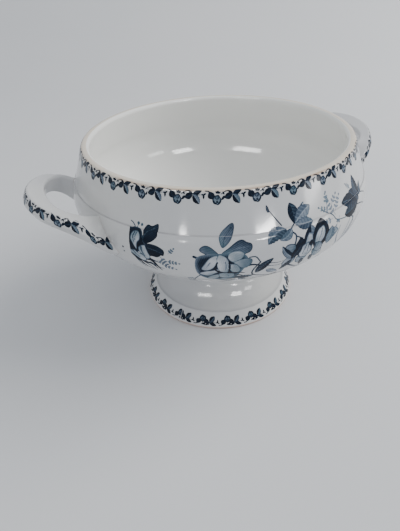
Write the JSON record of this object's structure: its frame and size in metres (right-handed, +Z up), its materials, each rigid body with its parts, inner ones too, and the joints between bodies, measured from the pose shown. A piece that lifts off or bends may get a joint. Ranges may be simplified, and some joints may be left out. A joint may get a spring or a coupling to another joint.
{
  "type": "soup tureen",
  "caption": "Footed round soup tureen of glazed earthenware with a wide rounded belly, hollow pedestal foot and horizontal strap handles, printed with floral borders and sprays.",
  "frame": {"origin": "centre of the standing ring, on the plane the tureen stands on", "axes": "+Z up along the axis of the bowl; one handle on each side along X; the decorated front faces -Y"},
  "size_m": [0.3198, 0.247, 0.1565],
  "materials": {
    "glaze": "clear glossy glaze over white earthenware, with a blue-black floral transfer print",
    "slip": "slip in the luted seams, under the same clear glaze"
  },
  "bodies": {
    "root": {"bowl": "glaze", "pedestal_foot": "glaze", "foot_seam": "slip", "handle_left": "glaze", "handle_right": "glaze", "handle_left_front_seam": "slip", "handle_left_back_seam": "slip", "handle_right_front_seam": "slip", "handle_right_back_seam": "slip"}
  },
  "joints": []
}
